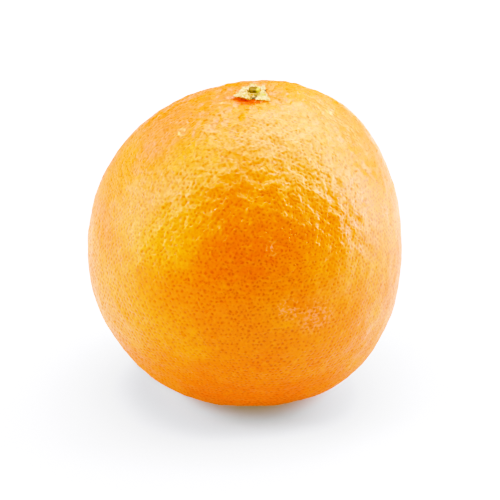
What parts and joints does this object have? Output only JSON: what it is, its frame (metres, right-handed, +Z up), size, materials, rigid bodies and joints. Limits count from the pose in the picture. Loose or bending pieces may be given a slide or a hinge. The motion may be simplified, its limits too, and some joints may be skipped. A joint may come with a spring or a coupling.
{
  "type": "grapefruit",
  "caption": "Whole ripe grapefruit resting on its blossom end, with the dried star-shaped calyx and the broken stalk end on top.",
  "frame": {"origin": "middle of the small flat spot at the blossom end that the fruit rests on", "axes": "+Z up through the stalk end; -Y towards the front of the picture, +X to its right"},
  "size_m": [0.1037, 0.1044, 0.1069],
  "materials": {
    "rind": "waxy citrus rind, deep orange with yellow and blushed patches, finely pitted by oil glands",
    "calyx": "dry papery sepals, pale cream to yellow-green, matt",
    "stalk": "dry broken stalk, olive brown, matt"
  },
  "bodies": {
    "root": {"fruit": "rind", "calyx": "calyx", "stalk_stub": "stalk"}
  },
  "joints": []
}
